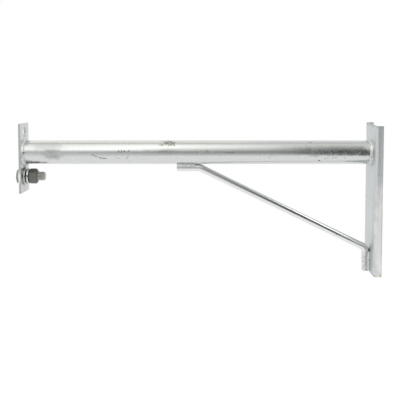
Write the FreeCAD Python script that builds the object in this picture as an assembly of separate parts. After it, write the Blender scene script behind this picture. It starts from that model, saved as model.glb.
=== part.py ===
import FreeCAD, Part
import math
import os

# Arm that holds a fibre cable clear of its pole: a round tube with a plate at its outer end, a channel
# that seats against the pole, a bent rod that braces the two, their weld beads, and the clamp bolt.
# Millimetres. The origin is on the tube's axis, in the plane where the channel's flanges meet the pole.
# +X points to the pole, +Z is up and -Y is the front.

# Arm as a whole
reach = 480.0                   # pole seat to the end plate's outer face

# Arm tube
tube_diameter = 32.0
tube_wall = 2.0

# End plate, a cut of flat bar
plate_thickness = 3.0
plate_width = 38.0
plate_over_tube = 23.2          # tube's top to the plate's top edge
plate_corner = 1.0
clamp_hole_diameter = 13.0
clamp_hole_to_top = 12.0        # hole's centre to the plate's top edge
bolt_under_tube = 16.4          # tube's underside to the bolt's axis
bolt_to_bottom = 21.4           # bolt's axis to the plate's bottom edge

# Pole channel, folded from sheet
channel_width = 50.0
channel_depth = 10.5
channel_height = 200.0
channel_thickness = 3.0
channel_bend_inside = 2.0
channel_top = 37.6              # above the tube's axis, at mid width
channel_skew = 3.3              # degrees: the sheared ends rise towards the back

# Holes in plate and channel that let the zinc in and out of the tube
vent_diameter = 10.0

# Brace rod
rod_diameter = 10.0
brace_start = 240.2             # pole seat to the corner of the upper bend
brace_drop = 130.3              # tube's axis to the corner of the lower bend
upper_bend = 14.0               # both bend radii are those of the rod's centre line
lower_bend = 8.0
upper_leg = 31.5                # end of the rod to the corner of the upper bend
leg_setback = 0.5               # end of the rod to the channel's bottom
rod_end_chamfer = 0.6

# Hex bolt, with flats at top and bottom of its head
bolt_diameter = 12.0
bolt_length = 30.0              # under the head
bolt_chamfer = 1.2
bolt_hole_diameter = 13.0
head_height = 6.8

# Hexagon that nut and bolt head share
hex_flats = 18.0
hex_chamfer = 30.0              # degrees
hex_face_diameter = 17.0

# Flat washer, with one edge rounded by the punch
washer_diameter = 24.0
washer_bore = 13.0
washer_thickness = 2.5
washer_edge = 0.6
washer_gap = 1.4                # the nut isn't run down, so the two washers stand apart

# Spring washer, one turn of square wire
spring_diameter = 21.0
spring_bore = 12.4
spring_thickness = 2.4
spring_rise = 0.2               # how far its two ends lie apart along the bolt
spring_gap = 9.0                # degrees of the turn left open
spring_gap_lift = 8.0           # degrees from the front up to the middle of the gap
spring_steps = 32               # straight pieces that make up the turn

# Hex nut, with corners at top and bottom
nut_height = 10.8
nut_countersink = 0.9
nut_clearance = 0.1             # all round the bolt

# Weld beads
ring_leg = 4.0                  # fillet leg round the tube's ends
ring_ripples = 26
ring_margin = 0.4               # bare metal left between the ring and the edge of its face
brace_bead_radius = 2.7
brace_bead_length = 25.0
foot_bead_radius = 2.9
foot_bead_start = 4.0           # corner of the lower bend to the top of the bead
bead_spread = 0.9               # bead's centre from the groove's middle, as a share of the rod's radius
bead_lift = 0.2                 # bead's centre from the other piece, as a share of the rod's radius
bead_pitch = 3.6                # length of one ripple
bead_taper = 0.86               # small end of a ripple, as a share of its large end
ripple_sides = 12

# Places that follow from the sizes
tube_radius = tube_diameter / 2
rod_radius = rod_diameter / 2
bolt_radius = bolt_diameter / 2
plate_outer_x = -reach
plate_inner_x = plate_outer_x + plate_thickness
web_outer_x = -channel_depth
channel_bend_outside = channel_bend_inside + channel_thickness
web_flat_width = channel_width - 2 * channel_bend_outside
plate_top_z = tube_radius + plate_over_tube
clamp_hole_z = plate_top_z - clamp_hole_to_top
bolt_z = -tube_radius - bolt_under_tube
plate_bottom_z = bolt_z - bolt_to_bottom
channel_bottom_z = channel_top - channel_height
rod_top_z = -tube_radius - rod_radius
rod_start_x = -brace_start - upper_leg
rod_foot_x = web_outer_x - rod_radius
spring_x = plate_inner_x + washer_thickness + washer_gap
nut_x = spring_x + spring_thickness + spring_rise

ALONG_X = FreeCAD.Vector(1, 0, 0)
ALONG_Y = FreeCAD.Vector(0, 1, 0)
ALONG_Z = FreeCAD.Vector(0, 0, 1)

FLAT_TO = 1e-6                  # a facet of four corners counts as flat below this triple product


def point(x, y, z):
    return FreeCAD.Vector(x, y, z)


def rounded_path(corners, closed):
    """Straight runs joined by tangent arcs. Each corner is a point and its bend radius."""
    places = [place for place, radius in corners]
    count = len(corners)
    stops = []
    for index, (place, radius) in enumerate(corners):
        has_two_sides = closed or 0 < index < count - 1
        if radius == 0 or not has_two_sides:
            stops.append((place, None, place))
            continue
        incoming = (place - places[index - 1]).normalize()
        outgoing = (places[(index + 1) % count] - place).normalize()
        half_turn = incoming.getAngle(outgoing) / 2
        setback = radius * math.tan(half_turn)
        inward = (outgoing - incoming).normalize()
        middle = place + inward * (radius / math.cos(half_turn) - radius)
        stops.append((place - incoming * setback, middle, place + outgoing * setback))
    edges = []
    last = stops[-1][2] if closed else stops[0][0]
    for entry, middle, leaving in stops:
        if last.distanceToPoint(entry) > 1e-6:
            edges.append(Part.LineSegment(last, entry).toShape())
        if middle is not None:
            edges.append(Part.Arc(entry, middle, leaving).toShape())
        last = leaving
    return Part.Wire(edges)


def turned(profile, centre_z):
    """A solid turned about the line at height centre_z along X. The profile is (x, radius) points."""
    corners = [point(x, 0, centre_z + radius) for x, radius in profile]
    face = Part.Face(Part.makePolygon(corners + corners[:1]))
    return face.revolve(point(0, 0, centre_z), ALONG_X, 360)


def skinned(sections):
    """A solid of flat facets over a row of sections, each the same number of points in order."""
    outlines = [sections[0], sections[-1]]
    for near, far in zip(sections, sections[1:]):
        for index in range(len(near)):
            quad = [near[index - 1], near[index], far[index], far[index - 1]]
            twist = (quad[3] - quad[0]).dot((quad[1] - quad[0]).cross(quad[2] - quad[0]))
            if abs(twist) < FLAT_TO:
                outlines.append(quad)
            else:
                outlines += [quad[:3], quad[2:] + quad[:1]]
    faces = [Part.Face(Part.makePolygon(outline + outline[:1])) for outline in outlines]
    shell = Part.makeShell(faces)
    shell.sewShape()
    return Part.makeSolid(shell)


def tube_core(start_x, end_x):
    return Part.makeCylinder(tube_radius, end_x - start_x, point(start_x, 0, 0), ALONG_X)


def arm_tube():
    length = web_outer_x - plate_inner_x
    hollow = Part.makeCylinder(tube_radius - tube_wall, length, point(plate_inner_x, 0, 0), ALONG_X)
    return tube_core(plate_inner_x, web_outer_x).cut(hollow)


def end_plate():
    half = plate_width / 2
    ends = [(-half, plate_bottom_z), (half, plate_bottom_z), (half, plate_top_z), (-half, plate_top_z)]
    corners = [(point(plate_outer_x, y, z), plate_corner) for y, z in ends]
    plate = Part.Face(rounded_path(corners, True)).extrude(ALONG_X * plate_thickness)
    holes = [
        (clamp_hole_z, clamp_hole_diameter),
        (0, vent_diameter),
        (bolt_z, bolt_hole_diameter),
    ]
    for height, diameter in holes:
        start = point(plate_outer_x, 0, height)
        plate = plate.cut(Part.makeCylinder(diameter / 2, plate_thickness, start, ALONG_X))
    return plate


def pole_channel():
    """A folded channel, open towards the pole, whose two ends are sheared a little off square."""
    half = channel_width / 2
    inside = half - channel_thickness
    floor_x = web_outer_x + channel_thickness
    section = [
        (0, -half, 0),
        (web_outer_x, -half, channel_bend_outside),
        (web_outer_x, half, channel_bend_outside),
        (0, half, 0),
        (0, inside, 0),
        (floor_x, inside, channel_bend_inside),
        (floor_x, -inside, channel_bend_inside),
        (0, -inside, 0),
    ]
    spare = channel_width
    corners = [(point(x, y, channel_bottom_z - spare), radius) for x, y, radius in section]
    strip = Part.Face(rounded_path(corners, True)).extrude(ALONG_Z * (channel_height + 2 * spare))
    kept = Part.makeBox(
        3 * channel_depth, 2 * channel_width, channel_height,
        point(-2 * channel_depth, -channel_width, channel_bottom_z),
    )
    middle = point(0, 0, channel_bottom_z + channel_height / 2)
    kept.rotate(middle, ALONG_X, channel_skew)
    vent = Part.makeCylinder(vent_diameter / 2, channel_depth, point(web_outer_x, 0, 0), ALONG_X)
    return strip.common(kept).cut(vent)


def brace_rod():
    """A rod bent twice: along the tube, down to the channel, and on down along its web."""
    corners = [
        (point(rod_start_x, 0, rod_top_z), 0),
        (point(-brace_start, 0, rod_top_z), upper_bend),
        (point(rod_foot_x, 0, -brace_drop), lower_bend),
        (point(rod_foot_x, 0, channel_bottom_z + leg_setback), 0),
    ]
    tips = [corners[0][0], corners[-1][0]]
    section = Part.Wire([Part.makeCircle(rod_radius, tips[0], ALONG_X)])
    rod = rounded_path(corners, False).makePipeShell([section], True, True)
    end_edges = [
        edge for edge in rod.Edges
        if min(edge.CenterOfMass.distanceToPoint(tip) for tip in tips) < rod_radius / 10
    ]
    return rod.makeChamfer(rod_end_chamfer, end_edges)


def hexagon_bar(start_x, height, first_corner, turned_at_end):
    """A hexagon bar on the bolt's axis, turned off at its start, and at its end too if asked.
    The first corner is in degrees from the top."""
    corner_radius = hex_flats / math.sqrt(3)
    face_radius = hex_face_diameter / 2
    slope = (corner_radius - face_radius) * math.tan(math.radians(hex_chamfer))
    end_x = start_x + height
    corners = []
    for index in range(7):
        angle = math.radians(first_corner + 60 * index)
        corners.append(
            point(start_x, corner_radius * math.sin(angle), bolt_z + corner_radius * math.cos(angle))
        )
    bar = Part.Face(Part.makePolygon(corners)).extrude(ALONG_X * height)
    profile = [(start_x, 0), (start_x, face_radius), (start_x + slope, corner_radius)]
    if turned_at_end:
        profile += [(end_x - slope, corner_radius), (end_x, face_radius)]
    else:
        profile.append((end_x, corner_radius))
    profile.append((end_x, 0))
    return bar.common(turned(profile, bolt_z))


def hex_bolt():
    """A hexagon head and a shank of the thread's outer size."""
    tip_x = plate_outer_x + bolt_length
    head = hexagon_bar(plate_outer_x - head_height, head_height, 30, False)
    shank = turned(
        [
            (plate_outer_x - head_height / 2, 0),
            (plate_outer_x - head_height / 2, bolt_radius),
            (tip_x - bolt_chamfer, bolt_radius),
            (tip_x, bolt_radius - bolt_chamfer),
            (tip_x, 0),
        ],
        bolt_z,
    )
    return head.fuse(shank).removeSplitter()


def flat_washer():
    outside = washer_diameter / 2
    inside = washer_bore / 2
    front_x = plate_inner_x + washer_thickness
    return turned(
        [
            (plate_inner_x, inside),
            (plate_inner_x, outside),
            (front_x - washer_edge, outside),
            (front_x, outside - washer_edge),
            (front_x, inside),
        ],
        bolt_z,
    )


def spring_washer():
    """A turn of square wire whose ends spring apart along the bolt."""
    inside = spring_bore / 2
    outside = spring_diameter / 2
    sections = []
    for step in range(spring_steps + 1):
        share = step / spring_steps
        turn = math.radians(spring_gap_lift - spring_gap / 2 - share * (360 - spring_gap))
        back_x = spring_x + share * spring_rise
        front_x = back_x + spring_thickness
        profile = [(back_x, inside), (back_x, outside), (front_x, outside), (front_x, inside)]
        corners = [
            point(x, -radius * math.cos(turn), bolt_z + radius * math.sin(turn))
            for x, radius in profile
        ]
        sections.append(corners)
    return skinned(sections)


def hex_nut():
    """A length of hexagon bar, turned off at both ends, bored and countersunk."""
    far_x = nut_x + nut_height
    bore = bolt_radius + nut_clearance
    tool = turned(
        [
            (nut_x, 0),
            (nut_x, bore + nut_countersink),
            (nut_x + nut_countersink, bore),
            (far_x - nut_countersink, bore),
            (far_x, bore + nut_countersink),
            (far_x, 0),
        ],
        bolt_z,
    )
    return hexagon_bar(nut_x, nut_height, 0, True).cut(tool)


def ripple(start, along, across, length, radius):
    """One scale of a weld bead: a short many-sided bar that narrows along the weld."""
    ends = []
    for centre, size in [(start, radius), (start + along * length, radius * bead_taper)]:
        corners = []
        for side in range(ripple_sides):
            turn = 2 * math.pi * side / ripple_sides
            arm = across * math.cos(turn) + along.cross(across) * math.sin(turn)
            corners.append(centre + arm * size)
        ends.append(corners)
    return skinned(ends)


def ring_bead(face_x, side, face_width):
    """The fillet round one end of the tube, as ripples that overlap round the circle.
    It lies against the face at face_x, on its +X side where side is 1, and stays within its width."""
    turn = 2 * math.pi / ring_ripples
    length = 2 * (tube_radius + ring_leg) * math.tan(turn / 2)
    ripples = []
    for index in range(ring_ripples):
        angle = index * turn
        outward = point(0, math.cos(angle), math.sin(angle))
        along = point(0, -math.sin(angle), math.cos(angle))
        start = point(face_x, 0, 0) + outward * tube_radius - along * (length / 2)
        ripples.append(ripple(start, along, ALONG_X, length, ring_leg))
    bead = ripples[0].multiFuse(ripples[1:])
    width = face_width - 2 * ring_margin
    height = 2 * (tube_diameter + ring_leg)
    depth = 2 * ring_leg
    low_x = min(face_x, face_x + side * depth)
    room = Part.makeBox(depth, width, height, point(low_x, -width / 2, -height / 2))
    return bead.common(room).cut(tube_core(plate_inner_x, web_outer_x))


def straight_bead(start, along, length, radius):
    """A row of ripples, which the caller cuts back to the pieces that it joins."""
    count = max(2, round(length / bead_pitch))
    pitch = length / count
    ripples = [
        ripple(start + along * (index * pitch), along, ALONG_Y, pitch, radius)
        for index in range(count)
    ]
    return ripples[0].multiFuse(ripples[1:])


def brace_bead(side, rod):
    """The bead between the tube and the rod's upper leg, at the front where side is -1."""
    start = point(rod_start_x, side * bead_spread * rod_radius, -tube_radius - bead_lift * rod_radius)
    bead = straight_bead(start, ALONG_X, brace_bead_length, brace_bead_radius)
    return bead.cut(tube_core(plate_inner_x, web_outer_x)).cut(rod)


def foot_bead(side, rod):
    """The bead between the channel's web and the rod's lower leg, at the front where side is -1."""
    top_z = -brace_drop - foot_bead_start
    length = top_z - channel_bottom_z - leg_setback - rod_end_chamfer
    start = point(web_outer_x - bead_lift * rod_radius, side * bead_spread * rod_radius, top_z)
    bead = straight_bead(start, -ALONG_Z, length, foot_bead_radius)
    web = Part.makeBox(
        channel_depth, channel_width, channel_height,
        point(web_outer_x, -channel_width / 2, channel_bottom_z),
    )
    return bead.cut(web).cut(rod)


def build():
    rod = brace_rod()
    return {
        "arm_tube": arm_tube(),
        "end_plate": end_plate(),
        "pole_channel": pole_channel(),
        "brace_rod": rod,
        "plate_weld": ring_bead(plate_inner_x, 1, plate_width),
        "channel_weld": ring_bead(web_outer_x, -1, web_flat_width),
        "brace_weld_front": brace_bead(-1, rod),
        "brace_weld_back": brace_bead(1, rod),
        "foot_weld_front": foot_bead(-1, rod),
        "foot_weld_back": foot_bead(1, rod),
        "hex_bolt": hex_bolt(),
        "flat_washer": flat_washer(),
        "spring_washer": spring_washer(),
        "hex_nut": hex_nut(),
    }


os.makedirs("parts", exist_ok=True)
for node, shape in build().items():
    shape.exportStep(f"parts/{node}.step")
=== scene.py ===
import math

import bmesh
import bpy
from bpy.props import FloatProperty, FloatVectorProperty, IntProperty, PointerProperty
from mathutils import Matrix, Vector, noise


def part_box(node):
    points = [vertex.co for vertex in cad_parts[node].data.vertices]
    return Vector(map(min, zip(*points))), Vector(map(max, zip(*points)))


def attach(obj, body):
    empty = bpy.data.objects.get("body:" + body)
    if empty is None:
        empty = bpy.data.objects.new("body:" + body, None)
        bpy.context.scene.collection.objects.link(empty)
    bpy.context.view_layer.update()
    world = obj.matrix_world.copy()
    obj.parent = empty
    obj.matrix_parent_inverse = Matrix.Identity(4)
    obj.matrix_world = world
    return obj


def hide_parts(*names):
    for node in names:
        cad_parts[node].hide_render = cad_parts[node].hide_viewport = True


bl_info = {
    "name": "Fibre optic extension arm",
    "version": (1, 0, 0),
    "blender": (4, 5, 0),
    "location": "View3D > Sidebar > Extension arm",
    "description": "Dresses the solid model of a galvanised extension arm",
    "category": "Object",
}

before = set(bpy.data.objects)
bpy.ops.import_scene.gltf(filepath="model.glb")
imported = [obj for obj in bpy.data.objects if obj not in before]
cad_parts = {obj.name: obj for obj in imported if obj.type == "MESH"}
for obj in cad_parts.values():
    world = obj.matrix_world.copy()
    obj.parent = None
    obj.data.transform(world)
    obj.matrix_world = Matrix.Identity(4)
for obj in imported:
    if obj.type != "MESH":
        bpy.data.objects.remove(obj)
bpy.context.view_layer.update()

MM = 0.001
FRONT = Vector((0, -1, 0))


def node_box(name):
    low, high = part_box(name)
    return low.copy(), high.copy()


TUBE_LOW, TUBE_HIGH = node_box("arm_tube")
PLATE_LOW, PLATE_HIGH = node_box("end_plate")
CHANNEL_LOW, CHANNEL_HIGH = node_box("pole_channel")
ROD_LOW, ROD_HIGH = node_box("brace_rod")
BOLT_LOW, BOLT_HIGH = node_box("hex_bolt")
WASHER_LOW, WASHER_HIGH = node_box("flat_washer")
SPRING_LOW, SPRING_HIGH = node_box("spring_washer")
NUT_LOW, NUT_HIGH = node_box("hex_nut")

TUBE_RADIUS = TUBE_HIGH.z
ROD_RADIUS = ROD_HIGH.y
BOLT_Z = (BOLT_LOW.z + BOLT_HIGH.z) / 2


# Sizes and colours that a user would change

def size_setting(name, description, default, smallest=0.0):
    """A property for a size. Its default and smallest value are given in millimetres."""
    return FloatProperty(
        name=name, description=description, default=default * MM, min=smallest * MM, unit="LENGTH")


def angle_setting(name, description, default):
    """A property for an angle, given in degrees."""
    return FloatProperty(
        name=name, description=description, default=math.radians(default), subtype="ANGLE")


def colour_setting(name, description, *default):
    return FloatVectorProperty(
        name=name, description=description, default=default, subtype="COLOR", size=3, min=0, max=1)


class ArmSizes(bpy.types.PropertyGroup):
    tube_wall: size_setting("Tube wall", "Thickness of the tube's wall", 2, 0.5)
    sheet_thickness: size_setting("Channel sheet", "Thickness of the folded channel's sheet", 3, 0.5)
    bend_inside: size_setting("Channel bend", "Inside radius of the channel's two folds", 2, 0.5)
    channel_skew: angle_setting("Channel skew", "Angle at which the channel's ends were sheared", 3.3)
    plate_corner: size_setting("Plate corner", "Corner radius of the end plate", 1, 0.3)
    clamp_hole: size_setting("Clamp hole", "Diameter of the plate's upper hole", 13, 1)
    clamp_hole_to_top: size_setting(
        "Clamp hole to top", "Upper hole's centre to the plate's top edge", 12, 1)
    bolt_hole: size_setting("Bolt hole", "Diameter of the plate's hole for the bolt", 13, 1)
    vent: size_setting("Zinc vent", "Diameter of the holes that drain the tube", 10, 1)
    edge_round: size_setting(
        "Edge rounding", "Rounding that the zinc leaves on sheared edges", 0.35, 0.05)
    brace_start: size_setting("Brace start", "Pole seat to the corner of the rod's upper bend", 240.2)
    brace_drop: size_setting("Brace drop", "Tube's axis to the corner of the rod's lower bend", 130.3)
    upper_bend: size_setting("Upper bend", "Radius of the rod's upper bend at its centre line", 14)
    lower_bend: size_setting("Lower bend", "Radius of the rod's lower bend at its centre line", 8)
    dent_depth: size_setting("Dent depth", "Depth of the shallow dent near the end plate", 0.75)
    weld_leg: size_setting("Weld leg", "Leg of the fillet welds round the tube's ends", 4)
    brace_bead: size_setting("Brace bead", "Radius of the beads between the tube and the rod", 2.8, 1)
    foot_bead: size_setting(
        "Foot bead", "Radius of the beads between the channel and the rod", 2.9, 1)
    ripple_height: size_setting("Ripple height", "Height of one ripple on a weld bead", 0.28)
    ring_ripples: IntProperty(
        name="Ring ripples", description="Ripples in the weld round the tube", default=34, min=8)
    hex_flats: size_setting(
        "Hexagon flats", "Width of the nut and the bolt's head across flats", 18, 1)
    hex_face: size_setting("Head face", "Diameter of the face that the head is turned down to", 17, 1)
    nut_face: size_setting(
        "Nut face", "Diameter of the faces that the nut is turned down to", 15.6, 1)
    thread: size_setting("Thread", "Diameter of the clamp bolt's thread", 12, 1)
    thread_pitch: size_setting("Thread pitch", "Pitch of the clamp bolt's thread", 1.75, 0.2)
    thread_depth: size_setting("Thread depth", "Depth of the zinc-coated thread", 0.6)
    washer_bore: size_setting("Washer bore", "Diameter of the flat washer's bore", 13, 1)
    spring_bore: size_setting("Spring bore", "Diameter of the spring washer's bore", 12.4, 1)
    spring_wire: size_setting("Spring wire", "Thickness of the spring washer's wire", 2.4, 0.5)


class ArmFinish(bpy.types.PropertyGroup):
    bright_zinc: colour_setting(
        "Bright zinc", "Colour of the zinc on tube, plate and welds", 0.622, 0.638, 0.628)
    satin_zinc: colour_setting("Satin zinc", "Colour of the zinc on the channel", 0.63, 0.658, 0.660)
    rod_zinc: colour_setting("Rod zinc", "Colour of the zinc on the brace rod", 0.71, 0.725, 0.715)
    # Also painted as highlights and painted light: glints on the plate's near edge and on the welds,
    # and lighter patches under the tube and at the plate bead's foot. It also gives the lower flange
    # its lighter colour.
    clean_zinc_and_highlight: colour_setting(
        "Clean zinc", "Colour of the zinc that the bath left brightest", 0.93, 0.945, 0.935)
    # Also painted as shade: in and above the tube's dent, on the channel's lower fold and in its
    # crease, and beside the channel's bead.
    dull_zinc_and_shade: colour_setting("Dull zinc", "Colour of sheared edges and worn zinc", 0.40, 0.42, 0.42)
    # Also painted as shade and shadows on the plate's inner face, round the washer and in the upper
    # hole's wall.
    dross: colour_setting("Dross", "Colour of dross and flux left in the zinc", 0.20, 0.19, 0.14)
    drip: colour_setting("Drip", "Colour of the yellowish drips at the lower edges", 0.66, 0.61, 0.42)
    # Also painted as shade in the gaps at the washers and on the bolt's thread between them.
    scratch: colour_setting("Scratch", "Colour of scratches, soot and grease", 0.09, 0.095, 0.09)
    head_zinc: colour_setting(
        "Head zinc", "Colour of the weathered zinc on the bolt's head", 0.25, 0.255, 0.245)
    bolt_zinc: colour_setting("Bolt zinc", "Colour of the spun zinc on the bolt", 0.41, 0.395, 0.375)
    washer_zinc: colour_setting("Washer zinc", "Colour of the zinc on the washers", 0.66, 0.68, 0.68)
    dark_nut: colour_setting("Dark nut", "Colour of the nut's dull coat", 0.20, 0.20, 0.185)
    spangle: size_setting("Spangle", "Size of the zinc's crystals", 3.2, 0.2)


class StageSettings(bpy.types.PropertyGroup):
    camera_place: FloatVectorProperty(
        name="Camera place", description="Where the camera stands",
        subtype="TRANSLATION", size=3, default=(-0.2404, -0.8069, 0.07955))
    camera_pitch: angle_setting("Camera pitch", "Angle that the camera looks down", 3.1)
    lens: FloatProperty(
        name="Lens", description="Focal length in millimetres on a 36 mm sensor",
        default=54.0, min=10)
    shift_down: FloatProperty(
        name="Shift", description="Vertical shift of the lens, as a share of the sensor",
        default=-0.186)
    floor_drop: size_setting("Floor drop", "Height of the object over the floor", 600)
    floor_colour: colour_setting("Floor", "Colour of the floor and backdrop", 0.9, 0.9, 0.9)
    floor_glow: FloatProperty(
        name="Floor glow", description="Light that the floor adds where it is seen",
        default=0.32, min=0)
    room_light: FloatProperty(
        name="Room light", description="Level of the light from all round", default=0.75, min=0)
    overhead_power: FloatProperty(
        name="Overhead softbox", description="Power of the softbox over the object, in watts",
        default=3.6, min=0)


# Meshes

RIM_STEPS = 4


def turns(count):
    """Angles spread evenly over a full turn."""
    return [2 * math.pi * step / count for step in range(count)]


def on_circle(x, radius, turn, centre_z=0.0):
    """A point on a circle about a line along X. Turn 0 faces the front, a quarter turn faces up."""
    return Vector((x, -radius * math.cos(turn), centre_z + radius * math.sin(turn)))


def rows_mesh(rows, closed_rows=False, closed_around=True, caps=False):
    """A bmesh skinned over rows of points. Each row has the same number of points."""
    bm = bmesh.new()
    made = [[bm.verts.new(place) for place in row] for row in rows]
    count = len(made[0])
    pairs = list(zip(made, made[1:]))
    if closed_rows:
        pairs.append((made[-1], made[0]))
    for near, far in pairs:
        for index in range(count if closed_around else count - 1):
            after = (index + 1) % count
            bm.faces.new((near[index], near[after], far[after], far[index]))
    if caps:
        bm.faces.new(made[0])
        bm.faces.new(made[-1])
    bmesh.ops.recalc_face_normals(bm, faces=bm.faces[:])
    return bm


def rim_profile(rounding, low, high, between=0):
    """(inset, height) pairs up a side with rounded edges, and heights between them where asked."""
    rise = []
    for step in range(RIM_STEPS + 1):
        turn = math.pi / 2 * step / RIM_STEPS
        rise.append((rounding * (1 - math.sin(turn)), low + rounding * (1 - math.cos(turn))))
    side = high - low - 2 * rounding
    level = [(0.0, low + rounding + side * step / (between + 1)) for step in range(1, between + 1)]
    return rise + level + [(inset, low + high - height) for inset, height in reversed(rise)]


def slab_mesh(loops, place, low, high, rounding):
    """A plate with rounded rims. Each loop is a function of its inset that gives (u, v) points;
    the first is the outline and the others are holes. place(u, v, height) gives the point."""
    bm = bmesh.new()
    rims = [[], []]
    for loop in loops:
        rows = []
        for inset, height in rim_profile(rounding, low, high):
            rows.append([bm.verts.new(place(u, v, height)) for u, v in loop(inset)])
        for near, far in zip(rows, rows[1:]):
            for index in range(len(near)):
                bm.faces.new((near[index - 1], near[index], far[index], far[index - 1]))
        for rim, row in zip(rims, (rows[0], rows[-1])):
            for index in range(len(row)):
                rim.append(bm.edges.get((row[index - 1], row[index])))
    for rim in rims:
        bmesh.ops.triangle_fill(bm, edges=rim, use_beauty=True)
    bmesh.ops.recalc_face_normals(bm, faces=bm.faces[:])
    return bm


def mesh_object(name, bm):
    """A new object of the scene, made of a bmesh that is then freed."""
    mesh = bpy.data.meshes.new(name)
    bm.to_mesh(mesh)
    bm.free()
    made = bpy.data.objects.new(name, mesh)
    bpy.context.scene.collection.objects.link(made)
    return made


def make_piece(name, bm, finish_name, node, sharp=35):
    """A piece that rides on the arm and stands for its CAD node. Edges sharper than the angle
    sharp, in degrees, stay crisp."""
    piece = mesh_object(name, bm)
    piece.data.materials.append(finish_of(finish_name))
    piece.data.shade_smooth()
    piece.data.set_sharp_from_angle(angle=math.radians(sharp))
    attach(piece, "root")
    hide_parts(node)
    return piece


def rounded_rectangle(low, high, corner, steps=6):
    """A function of the inset that gives a rectangle with rounded corners as (u, v) points."""
    centres = (
        (high[0] - corner, high[1] - corner, 0),
        (low[0] + corner, high[1] - corner, 90),
        (low[0] + corner, low[1] + corner, 180),
        (high[0] - corner, low[1] + corner, 270),
    )

    def outline(inset):
        radius = max(corner - inset, 0.02 * MM)
        points = []
        for u, v, start in centres:
            for step in range(steps + 1):
                turn = math.radians(start + 90 * step / steps)
                points.append((u + radius * math.cos(turn), v + radius * math.sin(turn)))
        return points
    return outline


def round_hole(u, v, radius, steps=64):
    """A function of the inset that gives a circle, which widens where the rim is rounded."""
    def outline(inset):
        size = radius + inset
        return [(u + size * math.cos(turn), v + size * math.sin(turn)) for turn in turns(steps)]
    return outline


def smooth_step(low, high, value):
    share = min(max((value - low) / (high - low), 0), 1)
    return share * share * (3 - 2 * share)


def wobble(place, unevenness):
    """Smooth noise at a point. The unevenness is how far apart its waves are and how deep, in
    millimetres."""
    distance, depth = unevenness
    return depth * MM * noise.noise(place / (distance * MM))


def bent_path(corners, step):
    """Points along straight runs joined by arcs. Each corner is a point and its bend radius."""
    points = [corners[0][0].copy()]

    def run_to(end):
        start = points[-1]
        count = max(1, round((end - start).length / step))
        points.extend([start.lerp(end, (index + 1) / count) for index in range(count)])

    for (before, _), (corner, radius), (after, _) in zip(corners, corners[1:], corners[2:]):
        incoming = (corner - before).normalized()
        outgoing = (after - corner).normalized()
        half_turn = incoming.angle(outgoing) / 2
        setback = radius * math.tan(half_turn)
        centre = corner + (outgoing - incoming).normalized() * (radius / math.cos(half_turn))
        run_to(corner - incoming * setback)
        arm = points[-1] - centre
        last_arm = corner + outgoing * setback - centre
        turn = arm.angle(last_arm)
        axis = arm.cross(last_arm).normalized()
        count = max(4, round(turn * arm.length / step * 2))
        for index in range(count):
            spin = Matrix.Rotation(turn * (index + 1) / count, 3, axis)
            points.append(centre + spin @ arm)
    run_to(corners[-1][0])
    return points


# Material nodes

MIX_SHARE, MIX_FIRST, MIX_SECOND, MIX_RESULT = 0, 6, 7, 2
ORIGIN = (0.0, 0.0, 0.0)


def is_socket(value):
    return isinstance(value, bpy.types.NodeSocket)


def add_node(tree, kind, inputs=None, **settings):
    """A shader node with its settings, and its inputs set to values or linked to sockets."""
    made = tree.nodes.new(kind)
    for key, value in settings.items():
        setattr(made, key, value)
    for key, value in (inputs or {}).items():
        if is_socket(value):
            tree.links.new(value, made.inputs[key])
        else:
            made.inputs[key].default_value = value
    return made


def maths(tree, operation, *values, clamp=False):
    made = add_node(
        tree, "ShaderNodeMath", dict(enumerate(values)), operation=operation, use_clamp=clamp)
    return made.outputs["Value"]


def vector_maths(tree, operation, *values):
    made = add_node(tree, "ShaderNodeVectorMath", dict(enumerate(values)), operation=operation)
    return made.outputs["Value" if operation in ("LENGTH", "DOT_PRODUCT") else "Vector"]


def scale_vector(tree, vector, factor):
    made = add_node(tree, "ShaderNodeVectorMath", {0: vector, "Scale": factor}, operation="SCALE")
    return made.outputs["Vector"]


def spread(tree, value, low, high, to_low=0.0, to_high=1.0):
    """Maps a value between low and high smoothly onto another range, and clamps it."""
    made = add_node(
        tree, "ShaderNodeMapRange",
        {"Value": value, "From Min": low, "From Max": high, "To Min": to_low, "To Max": to_high},
        interpolation_type="SMOOTHSTEP", clamp=True)
    return made.outputs["Result"]


def mix_colours(tree, share, first, second):
    inputs = {MIX_SHARE: share, MIX_FIRST: first, MIX_SECOND: second}
    return add_node(tree, "ShaderNodeMix", inputs, data_type="RGBA").outputs[MIX_RESULT]


def grain(tree, place, scale, detail, roughness=0.5):
    """A noise over the surface, finer where the scale is larger."""
    return add_node(tree, "ShaderNodeTexNoise", {
        "Vector": place, "Scale": scale, "Detail": detail, "Roughness": roughness})


def push_about(tree, place, noise_node, distance):
    """The place, moved about by a noise over the given distance."""
    centred = vector_maths(tree, "SUBTRACT", noise_node.outputs["Color"], (0.5, 0.5, 0.5))
    return vector_maths(tree, "ADD", place, scale_vector(tree, centred, distance))


def random_cells(tree, place, scale):
    """Cells over the surface: each one's random colour in parts, and the distance from its middle."""
    cells = add_node(tree, "ShaderNodeTexVoronoi", {"Vector": place, "Scale": scale})
    parts = add_node(tree, "ShaderNodeSeparateColor", {"Color": cells.outputs["Color"]})
    return parts.outputs, cells.outputs["Distance"]


def node_group(name, inputs, outputs):
    """A new group of shader nodes: its tree, its given values and its results. The inputs come
    with their defaults, and every result is one value."""
    tree = bpy.data.node_groups.new(name, "ShaderNodeTree")
    for socket, default in inputs.items():
        kind = "NodeSocketFloat" if isinstance(default, float) else "NodeSocketVector"
        tree.interface.new_socket(socket, in_out="INPUT", socket_type=kind).default_value = default
    for socket in outputs:
        tree.interface.new_socket(socket, in_out="OUTPUT", socket_type="NodeSocketFloat")
    return tree, tree.nodes.new("NodeGroupInput").outputs, tree.nodes.new("NodeGroupOutput").inputs


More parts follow.
